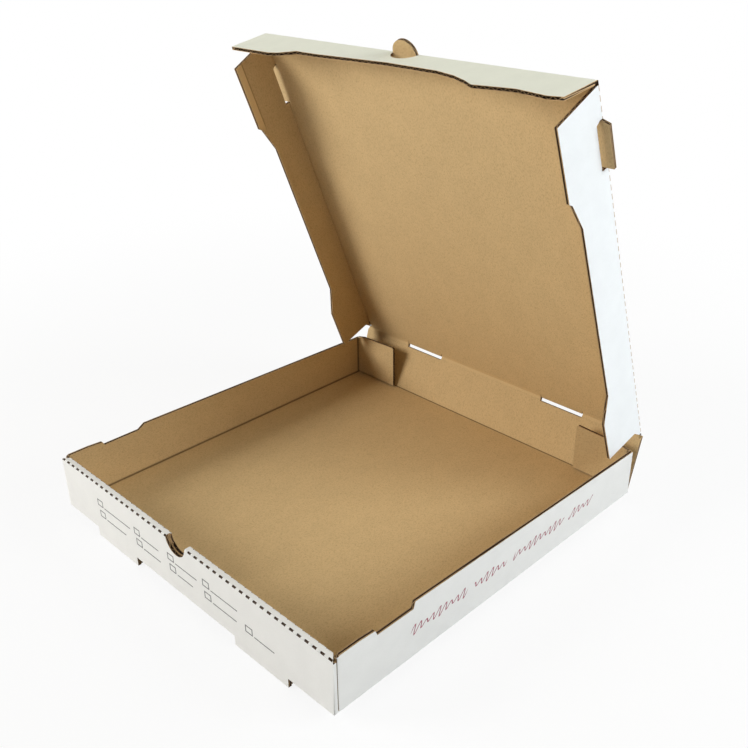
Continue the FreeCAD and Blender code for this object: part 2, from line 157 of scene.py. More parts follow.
X = Vector((1, 0, 0))
Y = Vector((0, 1, 0))
Z = Vector((0, 0, 1))
HALF_WIDTH = 181.0 * MM
HALF_DEPTH = 189.0 * MM
WALL_TOP = 50.8 * MM
DOUBLE_WALL = 6.4 * MM
BEND_RADIUS = 1.3 * MM          # outside, where the front wall turns over
CORNER_RADIUS = 2.0 * MM        # outside, along the tray's bottom
NOTCH_X = -3.0 * MM
NOTCH_RADIUS = 13.0 * MM
DASH_PITCH = 8.1 * MM
DASH_DEPTH = 1.2 * MM
FRONT_DASH = 4.1 * MM           # length of a dash at the front wall's top
FLAP_DASH = 5.0 * MM            # and at the root of a side flap
REAR_FLAP_FACE = 185.7 * MM     # outer face of the rear corner flaps
REAR_HEIGHT = 56.4 * MM
LID_DEPTH = 362.0 * MM
LID_HALF = 177.4 * MM

# Folds, in degrees
REAR_WALL_LEAN = 16.3
LID_TURN = 37.7
FRONT_FLAP_TURN = 78.5
SIDE_FLAP_TURNS = {"left": 90.0, "right": 95.0}
MITRE = 50.0                    # bevel of each panel at a crease that turns

# A flute's place: along the front wall, along the front flap and up the rear corner flaps
FRONT_FLUTE = -11.125 * MM
FLAP_FLUTE = -1.625 * MM
REAR_FLAP_FLUTE = 8.45 * MM


def lean(degrees, first, second):
    """The first direction, turned towards the second."""
    turn = math.radians(degrees)
    return first * math.cos(turn) + second * math.sin(turn)


rear_up = lean(REAR_WALL_LEAN, Z, Y)
rear_in = lean(REAR_WALL_LEAN, -Y, Z)
lid_out = lean(LID_TURN, rear_up, rear_in)
lid_in = lean(LID_TURN, rear_in, -rear_up)
flap_down = lean(FRONT_FLAP_TURN, lid_out, lid_in)
flap_in = lean(FRONT_FLAP_TURN, lid_in, -lid_out)
FLOOR_ROOT = Vector((0, HALF_DEPTH, 0))
LID_ROOT = FLOOR_ROOT + rear_up * REAR_HEIGHT
FLAP_ROOT = LID_ROOT + lid_out * LID_DEPTH
SIDES = {"left": -X, "right": X}


def side_root(side):
    return LID_ROOT + SIDES[side] * LID_HALF


class Panel:
    """One flat part of the folded board. Its axis u runs across the flutes, v along them
    and w through the board, from the white outer face to the kraft inner face. Its ranges
    are its reach along u and v, in millimetres."""

    def __init__(self, origin, u, v, w, u_range, v_range, paper="white"):
        self.origin = Vector(origin)
        self.axes = (u, v, w)
        self.ranges = (u_range, v_range)
        self.paper = paper

    def place(self, point):
        return [(point - self.origin).dot(axis) for axis in self.axes]

    def holds(self, place, sheet):
        slack = 0.3 * MM
        inside = -slack <= place[2] <= sheet + slack
        for value, (low, high) in zip(place, self.ranges):
            inside = inside and low * MM - slack <= value <= high * MM + slack
        return inside


def side_flap(side):
    outward, turn = SIDES[side], SIDE_FLAP_TURNS[side]
    return Panel(side_root(side), lean(turn, outward, lid_in), lid_out,
                 lean(turn, lid_in, -outward), (-1, 60), (-1, 370), "creased")


PANELS = {
    "tray": [
        Panel((FRONT_FLUTE, -HALF_DEPTH, 0), X, Z, Y, (-200, 200), (-10, 51), "front"),
        Panel((FRONT_FLUTE, -HALF_DEPTH + DOUBLE_WALL, 0), X, Z, -Y, (-200, 200),
              (-10, 51)),
        Panel((0, -HALF_DEPTH, WALL_TOP), X, Y, -Z, (-181, 181), (0, 6.4)),
        Panel((0, 0, 0), X, Y, Z, (-181, 181), (-189, 189)),
        Panel((-HALF_WIDTH, 0, 0), Z, Y, X, (0, 53), (-189, 189)),
        Panel((HALF_WIDTH, 0, 0), Z, Y, -X, (0, 53), (-189, 189), "side"),
        Panel((0, REAR_FLAP_FACE, REAR_FLAP_FLUTE), Z, X, -Y, (-9, 53), (-178, 178)),
    ],
    "rear_wall": [Panel(FLOOR_ROOT, X, rear_up, rear_in, (-180, 180), (-1, 58))],
    "lid": [Panel(LID_ROOT, X, lid_out, lid_in, (-190, 190), (-1, 380))],
    "lid_front_flap": [
        Panel(FLAP_ROOT + X * FLAP_FLUTE, X, flap_down, flap_in, (-190, 190), (-1, 50),
              "flap")],
    "lid_left_flap": [side_flap("left")],
    "lid_right_flap": [side_flap("right")],
}
BODY = {"tray": "tray", "rear_wall": "rear_wall", "lid": "lid",
        "lid_front_flap": "front_flap", "lid_left_flap": "left_flap",
        "lid_right_flap": "right_flap"}

# The papers that a piece of board shows, and their materials
PAPERS = {
    "white": "white liner",
    "front": "white liner with tick boxes",
    "side": "white liner with wavy lines",
    "flap": "flap liner",
    "creased": "white liner with a cut crease",
    "kraft": "kraft liner",
    "tray": "kraft liner of the tray",
    "turned": "kraft liner of the right corner flap",
    "crushed": "kraft liner with a crushed band",
    "crease": "creased kraft",
    "cut": "cut edge",
    "open": "pale edge",
    "hollow": "open flute",
}
FOLDED_KRAFT = "folded kraft"


def paper_of(middle, normal, panels, sheet):
    """The panel that a face belongs to, and the name of the paper that it shows."""
    mitre_facing = math.sin(math.radians(MITRE))
    best = (-1, panels[0], "cut")
    for panel in panels:
        place = panel.place(middle)
        if not panel.holds(place, sheet):
            continue
        facing = normal.dot(panel.axes[2])
        across = abs(normal.dot(panel.axes[0]))
        outside, inside = place[2] < 0.1 * sheet, place[2] > 0.9 * sheet
        buried = not outside and not inside
        if outside and facing < -0.5:
            found = (3, panel, panel.paper)
        elif inside and facing > 0.95:
            found = (3, panel, "kraft")
        elif buried and abs(facing) > 0.95:
            found = (1, panel, "hollow")
        elif buried and abs(facing - mitre_facing) < 0.01:
            found = (2, panel, "crease")
        elif buried and abs(facing) > 0.6 and across > 0.5:
            found = (1, panel, "hollow")
        else:
            found = (0, panel, "cut")
        if found[0] > best[0]:
            best = found
    return best[1:]


# Node helpers

def add_node(tree, kind, spot, **values):
    node = tree.nodes.new(kind)
    node.location = spot
    for name, value in values.items():
        setattr(node, name, value)
    return node


def feed(tree, socket, value):
    """Links an output to the socket, or sets the number on it."""
    if isinstance(value, bpy.types.NodeSocket):
        tree.links.new(value, socket)
    else:
        socket.default_value = value


def reckon(tree, spot, operation, first, second=None, third=None):
    """One step of arithmetic."""
    node = add_node(tree, "ShaderNodeMath", spot, operation=operation)
    for socket, value in zip(node.inputs, (first, second, third)):
        if value is not None:
            feed(tree, socket, value)
    return node.outputs[0]


def ramp(tree, spot, value, low, high, to_low=0.0, to_high=1.0):
    """A smooth change from one level to another, while the value goes from low to high."""
    node = add_node(tree, "ShaderNodeMapRange", spot, interpolation_type="SMOOTHSTEP")
    feed(tree, node.inputs["Value"], value)
    for name, number in (("From Min", low), ("From Max", high), ("To Min", to_low),
                         ("To Max", to_high)):
        feed(tree, node.inputs[name], number)
    return node.outputs["Result"]


def blend_colours(tree, spot, factor, first, second, kind="MIX"):
    node = add_node(tree, "ShaderNodeMix", spot, data_type="RGBA", blend_type=kind)
    feed(tree, node.inputs["Factor"], factor)
    feed(tree, node.inputs["A"], first)
    feed(tree, node.inputs["B"], second)
    return [s for s in node.outputs if s.type == "RGBA"][0]


def grain(tree, spot, vector, stretch, scale, detail, rough):
    """Noise that is drawn out along the board."""
    mapping = add_node(tree, "ShaderNodeMapping", spot)
    feed(tree, mapping.inputs["Vector"], vector)
    mapping.inputs["Scale"].default_value = stretch
    noise = add_node(tree, "ShaderNodeTexNoise", (spot[0] + 200, spot[1]))
    tree.links.new(mapping.outputs["Vector"], noise.inputs["Vector"])
    noise.inputs["Scale"].default_value = scale
    noise.inputs["Detail"].default_value = detail
    noise.inputs["Roughness"].default_value = rough
    return noise.outputs["Fac"]


def split_place(tree, spot, vector):
    node = add_node(tree, "ShaderNodeSeparateXYZ", spot)
    tree.links.new(vector, node.inputs[0])
    return node.outputs["X"], node.outputs["Y"], node.outputs["Z"]


def apart(tree, spot, first, second):
    """The distance between two values."""
    return reckon(tree, spot, "ABSOLUTE", reckon(
        tree, (spot[0] - 150, spot[1]), "SUBTRACT", first, second))


def most_of(tree, marks):
    """The highest of several masks."""
    found = marks[0]
    for number, mark in enumerate(marks[1:]):
        found = reckon(tree, (-600, 700 + 260 * number), "MAXIMUM", found, mark)
    return found


def flute_wave(tree, board, pitch, height):
    """A wave across the board, one to each flute."""
    turn = reckon(tree, (-800, -200), "DIVIDE", split_place(
        tree, (-1000, -200), board)[0], pitch)
    wave = reckon(tree, (-600, -200), "COSINE", reckon(
        tree, (-700, -300), "MULTIPLY", turn, 2 * math.pi))
    return reckon(tree, (-400, -200), "MULTIPLY", wave, height)


def new_group(name, inputs, outputs):
    """A shader node group, with the sockets that its inside reads and writes."""
    tree = bpy.data.node_groups.new(name, "ShaderNodeTree")
    for label, kind, default in inputs:
        socket = tree.interface.new_socket(label, in_out="INPUT", socket_type=kind)
        if default is not None:
            socket.default_value = default
    for label, kind in outputs:
        tree.interface.new_socket(label, in_out="OUTPUT", socket_type=kind)
    return (tree, add_node(tree, "NodeGroupInput", (-1400, 0)).outputs,
            add_node(tree, "NodeGroupOutput", (1400, 0)).inputs)


def use_group(tree, group, spot, **values):
    node = add_node(tree, "ShaderNodeGroup", spot, node_tree=group)
    for name, value in values.items():
        feed(tree, node.inputs[name.replace("_", " ")], value)
    return node.outputs


COLOUR, NUMBER, VECTOR = "NodeSocketColor", "NodeSocketFloat", "NodeSocketVector"


def rgba(colour):
    return (*colour[:3], 1.0)


def tinted(colour, factor):
    return rgba([part * factor for part in colour])


# Shared effects

def paper_fibres_group():
    """Flecks, long fibres and soft clouds of a sheet of paper, all from 0 to 1."""
    tree, given, result = new_group(
        "paper fibres", [("Vector", VECTOR, None)],
        [("Fleck", NUMBER), ("Fibre", NUMBER), ("Cloud", NUMBER)])
    vector = given["Vector"]
    fleck = grain(tree, (-900, 300), vector, (1, 0.45, 1), 1250.0, 2.5, 0.6)
    fibre = grain(tree, (-900, 0), vector, (1, 0.22, 1), 900.0, 3.0, 0.6)
    cloud = grain(tree, (-900, -300), vector, (1, 0.7, 1), 48.0, 4.0, 0.6)
    tree.links.new(ramp(tree, (-400, 300), fleck, 0.46, 0.70), result["Fleck"])
    tree.links.new(ramp(tree, (-400, 0), fibre, 0.32, 0.68), result["Fibre"])
    tree.links.new(ramp(tree, (-400, -300), cloud, 0.30, 0.70), result["Cloud"])
    return tree


def white_paper_group(fibres, pitch):
    """Colour, roughness and height of the white liner. Board holds the place across
    the flutes, along them and through the board."""
    tree, given, result = new_group(
        "white paper",
        [("Board", VECTOR, None), ("Liner", COLOUR, None), ("Pitch", NUMBER, pitch)],
        [("Colour", COLOUR), ("Roughness", NUMBER), ("Height", NUMBER)])
    liner = given["Liner"]
    marks = use_group(tree, fibres, (-1000, 200), Vector=given["Board"])
    shade = blend_colours(tree, (-700, 500), 1.0, liner, rgba((0.965, 0.965, 0.965)),
                          "MULTIPLY")
    fleck = blend_colours(tree, (-700, 700), 1.0, liner, rgba((0.90, 0.89, 0.86)),
                          "MULTIPLY")
    base = blend_colours(tree, (-500, 300), marks["Cloud"], shade, liner)
    tint = blend_colours(tree, (-300, 300), reckon(
        tree, (-500, 100), "MULTIPLY", marks["Fleck"], 0.20), base, fleck)
    washboard = flute_wave(tree, given["Board"], given["Pitch"], 0.10)
    height = reckon(tree, (-200, -250), "MULTIPLY_ADD", marks["Fibre"], 0.35, washboard)
    tree.links.new(tint, result["Colour"])
    tree.links.new(ramp(tree, (-300, -50), marks["Fibre"], 0, 1, 0.48, 0.62),
                   result["Roughness"])
    tree.links.new(height, result["Height"])
    return tree


def kraft_paper_group(fibres, kraft, dark, pitch):
    """Colour, roughness and height of the kraft liner."""
    tree, given, result = new_group(
        "kraft paper", [("Board", VECTOR, None), ("Pitch", NUMBER, pitch)],
        [("Colour", COLOUR), ("Roughness", NUMBER), ("Height", NUMBER)])
    marks = use_group(tree, fibres, (-1000, 200), Vector=given["Board"])
    base = blend_colours(tree, (-500, 300), marks["Cloud"], tinted(kraft, 0.96),
                         tinted(kraft, 1.02))
    streak = blend_colours(tree, (-300, 300), reckon(
        tree, (-500, 100), "MULTIPLY", marks["Fibre"], 0.32), base,
        rgba((kraft[0] * 1.14, kraft[1] * 1.15, kraft[2] * 1.20)))
    fleck = blend_colours(tree, (-100, 300), reckon(
        tree, (-300, 100), "MULTIPLY", marks["Fleck"], 0.42), streak, rgba(dark))
    washboard = flute_wave(tree, given["Board"], given["Pitch"], 0.10)
    height = reckon(tree, (-200, -250), "MULTIPLY_ADD", marks["Fibre"], 0.6, washboard)
    tree.links.new(fleck, result["Colour"])
    tree.links.new(ramp(tree, (-300, -50), marks["Fibre"], 0, 1, 0.80, 0.92),
                   result["Roughness"])
    tree.links.new(height, result["Height"])
    return tree


def cut_edge_group(fibres, sheet, liner, pitch):
    """Colour and height of a cut edge: two liners and the wavy medium, with dark
    hollows between them."""
    tree, given, result = new_group(
        "cut edge",
        [("Board", VECTOR, None), ("Paper", COLOUR, None), ("Hollow", COLOUR, None),
         ("Pitch", NUMBER, pitch), ("Sheet", NUMBER, sheet)],
        [("Colour", COLOUR), ("Height", NUMBER)])
    depth = split_place(tree, (-1200, 0), given["Board"])[2]
    middle = reckon(tree, (-1000, -150), "MULTIPLY", given["Sheet"], 0.5)
    off = reckon(tree, (-800, -150), "SUBTRACT", depth, middle)
    edge = sheet / 2 - liner
    liners = ramp(tree, (-400, 250), reckon(tree, (-600, 250), "ABSOLUTE", off),
                  edge - 0.10 * MM, edge + 0.05 * MM)
    medium = flute_wave(tree, given["Board"], given["Pitch"], -0.80 * MM)
    ribbon = ramp(tree, (0, 0), apart(tree, (-200, 0), off, medium),
                  0.24 * MM, 0.44 * MM, 1.0, 0.0)
    paper = reckon(tree, (200, 100), "MAXIMUM", liners, ribbon)
    marks = use_group(tree, fibres, (-1000, 500), Vector=given["Board"])
    shade = blend_colours(tree, (100, 500), 1.0, given["Paper"],
                          rgba((0.72, 0.72, 0.72)), "MULTIPLY")
    tint = blend_colours(tree, (300, 400), marks["Fleck"], given["Paper"], shade)
    tree.links.new(blend_colours(tree, (500, 200), paper, given["Hollow"], tint),
                   result["Colour"])
    tree.links.new(paper, result["Height"])
    return tree


def tick_box_group():
    """Ink of one tick box and the write-on line beside it, on the front wall."""
    tree, given, result = new_group(
        "tick box",
        [("Vector", VECTOR, None), ("Across", NUMBER, 0.0), ("Up", NUMBER, 0.0),
         ("Half width", NUMBER, 0.004), ("Half height", NUMBER, 0.002),
         ("Stroke", NUMBER, 0.0006), ("Line end", NUMBER, 0.0)],
        [("Ink", NUMBER)])
    x, _, z = split_place(tree, (-1200, 0), given["Vector"])
    aside = reckon(tree, (-1000, 200), "SUBTRACT", x, given["Across"])
    above = reckon(tree, (-1000, 0), "SUBTRACT", z, given["Up"])
    wide = reckon(tree, (-700, 200), "SUBTRACT",
                  reckon(tree, (-850, 200), "ABSOLUTE", aside), given["Half width"])
    tall = reckon(tree, (-700, 0), "SUBTRACT",
                  reckon(tree, (-850, 0), "ABSOLUTE", above), given["Half height"])
    rim = reckon(tree, (-400, 100), "ABSOLUTE",
                 reckon(tree, (-550, 100), "MAXIMUM", wide, tall))
    half = reckon(tree, (-550, -100), "MULTIPLY", given["Stroke"], 0.5)
    outline = reckon(tree, (-250, 100), "LESS_THAN", rim, half)
    low = reckon(tree, (-400, -250), "ABSOLUTE", reckon(
        tree, (-550, -250), "ADD", above, given["Half height"]))
    on_line = reckon(tree, (-250, -250), "LESS_THAN", low, half)
    after = reckon(tree, (-400, -400), "GREATER_THAN", reckon(
        tree, (-550, -400), "SUBTRACT", aside, given["Half width"]), 2.2 * MM)
    before = reckon(tree, (-400, -550), "LESS_THAN", x, given["Line end"])
    line = reckon(tree, (0, -300), "MULTIPLY", on_line, reckon(
        tree, (-150, -450), "MULTIPLY", after, before))
    tree.links.new(reckon(tree, (200, 0), "MAXIMUM", outline, line), result["Ink"])
    return tree


WAVE_LENGTH = 7.0 * MM
SWELL_LENGTH = 29.0 * MM


def wavy_line_group():
    """Ink of one slanted wavy line along a side wall, from Start to End. Its waves swell
    and shrink, and its stroke is as thick on their slopes as at their tops."""
    tree, given, result = new_group(
        "wavy line",
        [("Vector", VECTOR, None), ("Start", NUMBER, -0.1), ("End", NUMBER, 0.1),
         ("Up", NUMBER, 0.026)],
        [("Ink", NUMBER)])
    _, y, z = split_place(tree, (-1300, 0), given["Vector"])
    off = reckon(tree, (-1100, 300), "SUBTRACT", z, given["Up"])
    along = reckon(tree, (-900, 100), "MULTIPLY_ADD", off, -0.55, y)
    turn, swell_turn = 2 * math.pi / WAVE_LENGTH, 2 * math.pi / SWELL_LENGTH
    inside = reckon(tree, (-300, -300), "MULTIPLY",
                    reckon(tree, (-500, -250), "GREATER_THAN", along, given["Start"]),
                    reckon(tree, (-500, -400), "LESS_THAN", along, given["End"]))
    angle = reckon(tree, (-700, 100), "MULTIPLY", along, turn)
    swell = reckon(tree, (-500, -100), "SINE", reckon(
        tree, (-700, -100), "MULTIPLY", along, swell_turn))
    tall = reckon(tree, (-300, -100), "MULTIPLY_ADD", swell, 1.3 * MM, 2.9 * MM)
    middle = reckon(tree, (-100, 100), "MULTIPLY",
                    reckon(tree, (-300, 100), "SINE", angle), tall)
    gap = apart(tree, (250, 300), off, middle)
    slope = reckon(tree, (0, -200), "MULTIPLY", reckon(
        tree, (-150, -250), "COSINE", angle), reckon(
        tree, (-150, -350), "MULTIPLY", tall, turn))
    lengthen = reckon(tree, (300, -200), "SQRT", reckon(
        tree, (150, -200), "MULTIPLY_ADD", slope, slope, 1.0))
    width = reckon(tree, (450, -200), "MULTIPLY", lengthen, 0.60 * MM)
    stroke = reckon(tree, (600, 100), "LESS_THAN", gap, width)
    tree.links.new(reckon(tree, (800, 0), "MULTIPLY", stroke, inside), result["Ink"])
    return tree


def dash_row_group():
    """Mask of the short dashes of a cut crease, evenly spaced about its middle."""
    tree, given, result = new_group(
        "dash row",
        [("Along", NUMBER, 0.0), ("Pitch", NUMBER, DASH_PITCH), ("Length", NUMBER, 0.0)],
        [("Dash", NUMBER)])
    turn = reckon(tree, (-900, 0), "ADD", reckon(
        tree, (-1100, 0), "DIVIDE", given["Along"], given["Pitch"]), 0.5)
    off = apart(tree, (-500, 0), reckon(tree, (-750, 0), "FRACT", turn), 0.5)
    half = reckon(tree, (-500, -200), "MULTIPLY", reckon(
        tree, (-700, -200), "DIVIDE", given["Length"], given["Pitch"]), 0.5)
    tree.links.new(reckon(tree, (-200, 0), "LESS_THAN", off, half), result["Dash"])
    return tree


def inner_corner_group(sheet):
    """Shade of the tray's inner corners: where the walls meet the floor, and where the
    rear corner flaps stand against the side walls."""
    tree, given, result = new_group(
        "inner corners",
        [("Vector", VECTOR, None), ("Side", NUMBER, HALF_WIDTH - sheet),
         ("Front", NUMBER, DOUBLE_WALL - HALF_DEPTH),
         ("Flap", NUMBER, REAR_FLAP_FACE - sheet), ("Floor", NUMBER, sheet)],
        [("Shade", NUMBER)])
    x, y, z = split_place(tree, (-1300, 0), given["Vector"])
    side = reckon(tree, (-900, 300), "SUBTRACT", given["Side"], reckon(
        tree, (-1100, 300), "ABSOLUTE", x))
    front = reckon(tree, (-900, 100), "SUBTRACT", y, given["Front"])
    flap = reckon(tree, (-900, -100), "SUBTRACT", y, given["Flap"])
    floor = reckon(tree, (-900, -300), "SUBTRACT", z, given["Floor"])
    nearest = None
    for number, (one, other) in enumerate(((side, floor), (front, floor), (side, flap))):
        spot = 300 - 300 * number
        far = reckon(tree, (-200, spot), "SQRT", reckon(
            tree, (-350, spot), "MULTIPLY_ADD", one, one, reckon(
                tree, (-500, spot), "MULTIPLY", other, other)))
        nearest = far if nearest is None else reckon(
            tree, (0, spot), "MINIMUM", nearest, far)
    tree.links.new(ramp(tree, (300, 0), nearest, 0.3 * MM, 2.2 * MM, 1.0, 0.0),
                   result["Shade"])
    return tree


# Materials

# Depth of the relief that the bump gives each surface
WHITE_DEPTH = 0.030 * MM
KRAFT_DEPTH = 0.040 * MM
CREASE_DEPTH = 0.12 * MM
EDGE_DEPTH = 0.25 * MM
FLUTE_DEPTH = 0.05 * MM

# In millimetres: where each wavy line starts and ends along the right wall, and where
# each tick box has its middle, across and up, and the end of its write-on line
WAVES = ((-112, -49), (-41, 0), (10, 79), (88, 121))
TICKS = ((-120.0, 30.8, -72.6), (-118.1, 19.6, -81.1), (-61.8, 30.3, -30.2),
         (-59.9, 19.7, -28.8), (-12.3, 30.7, 23.0), (-10.7, 20.3, 16.4),
         (35.3, 31.2, 74.5), (36.7, 19.8, 72.8), (87.5, 17.9, 116.9))


class PaperMaterial:
    """A material of the board: a paper's group, and what is laid over its colour."""

    def __init__(self, title, group=None, **values):
        material = bpy.data.materials.new(title)
        material.use_nodes = True
        self.tree = material.node_tree
        self.shader = self.tree.nodes["Principled BSDF"]
        self.shader.location = (600, 0)
        self.shader.inputs["Specular IOR Level"].default_value = 0.30
        self.place = add_node(self.tree, "ShaderNodeAttribute", (-1200, 0),
                              attribute_name="board").outputs["Vector"]
        self.column = 0
        if group:
            self.paper = use_group(self.tree, group, (-200, 0), Board=self.place, **values)
            self.colour = self.paper["Colour"]

    def object_place(self):
        return add_node(self.tree, "ShaderNodeTexCoord", (-1200, 600)).outputs["Object"]

    def times(self, first, second):
        return reckon(self.tree, (self.column, 600), "MULTIPLY", first, second)

    def cover(self, mask, colour, kind="MIX"):
        self.colour = blend_colours(self.tree, (self.column, 400), mask, self.colour,
                                    colour, kind)
        self.column += 200

    def finish(self, depth, roughness=None, height=None):
        feed(self.tree, self.shader.inputs["Base Color"], self.colour)
        feed(self.tree, self.shader.inputs["Roughness"],
             self.paper["Roughness"] if roughness is None else roughness)
        bump = add_node(self.tree, "ShaderNodeBump", (350, -250))
        bump.inputs["Strength"].default_value = 1.0
        bump.inputs["Distance"].default_value = depth
        feed(self.tree, bump.inputs["Height"], height or self.paper["Height"])
        self.tree.links.new(bump.outputs["Normal"], self.shader.inputs["Normal"])


def front_wall_paper(white, dashes, board, prints):
    """White paper with the tick boxes and the dashes of the top crease."""
    made = PaperMaterial(PAPERS["front"], white, Liner=rgba(board.white))
    tree = made.tree
    place = made.object_place()
    ticks = tick_box_group()
    ink = most_of(tree, [
        use_group(tree, ticks, (-900, 700 + 260 * number), Vector=place,
                  Across=across * MM, Up=up * MM, Half_width=prints.tick_width / 2,
                  Half_height=prints.tick_height / 2, Stroke=prints.stroke,
                  Line_end=end * MM)["Ink"]
        for number, (across, up, end) in enumerate(TICKS)])
    made.cover(made.times(ink, 0.92), rgba(prints.ink))
    x, _, z = split_place(tree, (-1000, -500), place)
    dash = use_group(tree, dashes, (-700, -500), Along=x, Length=FRONT_DASH)["Dash"]
    high = reckon(tree, (-700, -700), "GREATER_THAN", z, WALL_TOP - DASH_DEPTH)
    made.cover(made.times(dash, high), rgba(board.hollow))
    made.finish(WHITE_DEPTH)


def side_flap_paper(white, dashes, board):
    """White paper with the dashes of a cut crease along its root."""
    made = PaperMaterial(PAPERS["creased"], white, Liner=rgba(board.bright))
    u, v, _ = split_place(made.tree, (-1000, -500), made.place)
    dash = use_group(made.tree, dashes, (-700, -500), Along=v, Length=FLAP_DASH)["Dash"]
    low = reckon(made.tree, (-700, -700), "LESS_THAN", u, 0.7 * MM)
    made.cover(made.times(dash, low), rgba(board.cut))
    made.finish(WHITE_DEPTH)


def right_wall_paper(white, board, prints):
    """Slightly greyer white paper with the wavy lines."""
    made = PaperMaterial(PAPERS["side"], white, Liner=tinted(board.white, 0.94))
    place = made.object_place()
    wave = wavy_line_group()
    ink = most_of(made.tree, [
        use_group(made.tree, wave, (-900, 700 + 260 * number), Vector=place,
                  Start=low * MM, End=high * MM, Up=prints.wave_height)["Ink"]
        for number, (low, high) in enumerate(WAVES)])
    made.cover(made.times(ink, 0.90), rgba(prints.red))
    made.finish(WHITE_DEPTH)


def tray_papers(kraft, board):
    """Kraft paper inside the tray, dark in its corners and darker on one corner flap."""
    corners = inner_corner_group(board.sheet)
    for paper, shade in (("tray", 1.0), ("turned", 0.84)):
        made = PaperMaterial(PAPERS[paper], kraft)
        dark = use_group(made.tree, corners, (-900, 500), Vector=made.object_place())
        made.cover(1.0, (shade, shade, shade, 1), "MULTIPLY")
        made.cover(made.times(dark["Shade"], 0.85), tinted(board.kraft_dark, 0.45))
        made.finish(KRAFT_DEPTH)


def crease_papers(kraft, board):
    """Kraft paper that bends: dark in the fold at the floor, pale where it stretches."""
    made = PaperMaterial(FOLDED_KRAFT, kraft)
    off = reckon(made.tree, (-800, -500), "ABSOLUTE",
                 split_place(made.tree, (-1000, -500), made.place)[1])
    made.cover(ramp(made.tree, (-500, -500), off, 0.25 * MM, 1.5 * MM, 0.85, 0.0),
               tinted(board.kraft_dark, 0.45))
    made.finish(CREASE_DEPTH, 0.9)
    made = PaperMaterial(PAPERS["crease"], kraft)
    made.cover(0.35, tinted(board.kraft, 1.15))
    made.finish(CREASE_DEPTH, 0.9)


def crushed_paper(kraft, board):
    """The left flap's kraft paper, with a pale band and a dark ridge along its free edge
    near the front end."""
    made = PaperMaterial(PAPERS["crushed"], kraft)
    tree = made.tree
    u, v, _ = split_place(tree, (-1000, -500), made.place)
    front = ramp(tree, (-800, -700), v, 284 * MM, 292 * MM)
    band = ramp(tree, (-800, -500), u, 38.3 * MM, 39.6 * MM, 0.0, 0.75)
    ridge = ramp(tree, (-500, -900), apart(tree, (-650, -900), u, 38.2 * MM),
                 0.25 * MM, 0.8 * MM, 0.7, 0.0)
    made.cover(made.times(front, band), tinted(board.kraft, 1.35))
    made.cover(made.times(front, ridge), rgba(board.kraft_dark))
    made.finish(KRAFT_DEPTH)


def edge_papers(fibres, board):
    """The layers in a cut edge, which are paler in the front flap, and an open flute."""
    edge = cut_edge_group(fibres, board.sheet, board.liner, board.pitch)
    for paper, cut, hollow in (("cut", 1.0, 1.0), ("open", 1.6, 0.6)):
        PaperMaterial(PAPERS[paper], edge, Paper=tinted(board.cut, cut),
                      Hollow=tinted(board.hollow, hollow)).finish(EDGE_DEPTH, 0.92)
    made = PaperMaterial(PAPERS["hollow"])
    marks = use_group(made.tree, fibres, (-500, 0), Vector=made.place)
    made.colour = blend_colours(made.tree, (0, 200), marks["Cloud"], rgba(board.hollow),
                                tinted(board.hollow, 1.6))
    made.finish(FLUTE_DEPTH, 0.95, marks["Fibre"])


def make_papers(board, prints):
    fibres = paper_fibres_group()
    white = white_paper_group(fibres, board.pitch)
    kraft = kraft_paper_group(fibres, board.kraft, board.kraft_dark, board.pitch)
    dashes = dash_row_group()
    PaperMaterial(PAPERS["white"], white, Liner=rgba(board.white)).finish(WHITE_DEPTH)
    PaperMaterial(PAPERS["flap"], white, Liner=rgba(board.shaded)).finish(WHITE_DEPTH)
    PaperMaterial(PAPERS["kraft"], kraft).finish(KRAFT_DEPTH)
    front_wall_paper(white, dashes, board, prints)
    side_flap_paper(white, dashes, board)
    right_wall_paper(white, board, prints)
    tray_papers(kraft, board)
    crease_papers(kraft, board)
    crushed_paper(kraft, board)
    edge_papers(fibres, board)


def paper_material(title):
    if title not in bpy.data.materials:
        make_papers(bpy.context.scene.box_board, bpy.context.scene.box_print)
    return bpy.data.materials[title]


# Making a piece

class Crease:
    """A crease that turns: its first panel leads outwards to the root, and its second one
    is turned inwards from there. Each strip of paper has its reach along the crease."""

    def __init__(self, root, along, outward, inward, degrees, bodies, paper, strips):
        self.root, self.along, self.inward = root, along, inward
        self.outward, self.degrees = outward, degrees
        self.first, self.second = -outward, lean(degrees, outward, inward)
        self.bodies, self.paper, self.strips = bodies, paper, strips

    def inner_corner(self, sheet):
        """Where the two inner faces meet, and how far the mitre is open beside that."""
        half = sheet * math.tan(math.radians(self.degrees / 2))
        return (self.root + self.inward * sheet - self.outward * half,
                sheet * math.tan(math.radians(MITRE)) - half)


def side_crease(side):
    return Crease(side_root(side), lid_out, SIDES[side], lid_in, SIDE_FLAP_TURNS[side],
                  ("lid", side + "_flap"), PAPERS["kraft"],
                  {side + "_flap_crease_rear": (11.0, 293.0),
                   side + "_flap_crease_front": (333.5, 357.5)})


# The strips stop at the slots, the thumb tab and the side tabs
CREASES = (
    Crease(LID_ROOT, X, rear_up, rear_in, LID_TURN, ("rear_wall", "lid"),
           PAPERS["crease"],
           {"lid_crease_left": (-176.8, -115.4), "lid_crease_middle": (-65.6, 65.6),
            "lid_crease_right": (115.4, 176.8)}),
    Crease(FLOOR_ROOT, X, Y, Z, 90 - REAR_WALL_LEAN, ("tray", "rear_wall"), FOLDED_KRAFT,
           {"floor_crease": (-177.5, 177.5)}),
    Crease(FLAP_ROOT, X, lid_out, lid_in, FRONT_FLAP_TURN, ("lid", "front_flap"),
           PAPERS["kraft"],
           {"front_flap_crease_left": (-171.0, -16.8),
            "front_flap_crease_right": (10.8, 171.0)}),
    side_crease("left"),
    side_crease("right"),
)
STRIP_THICKNESS = 0.35 * MM


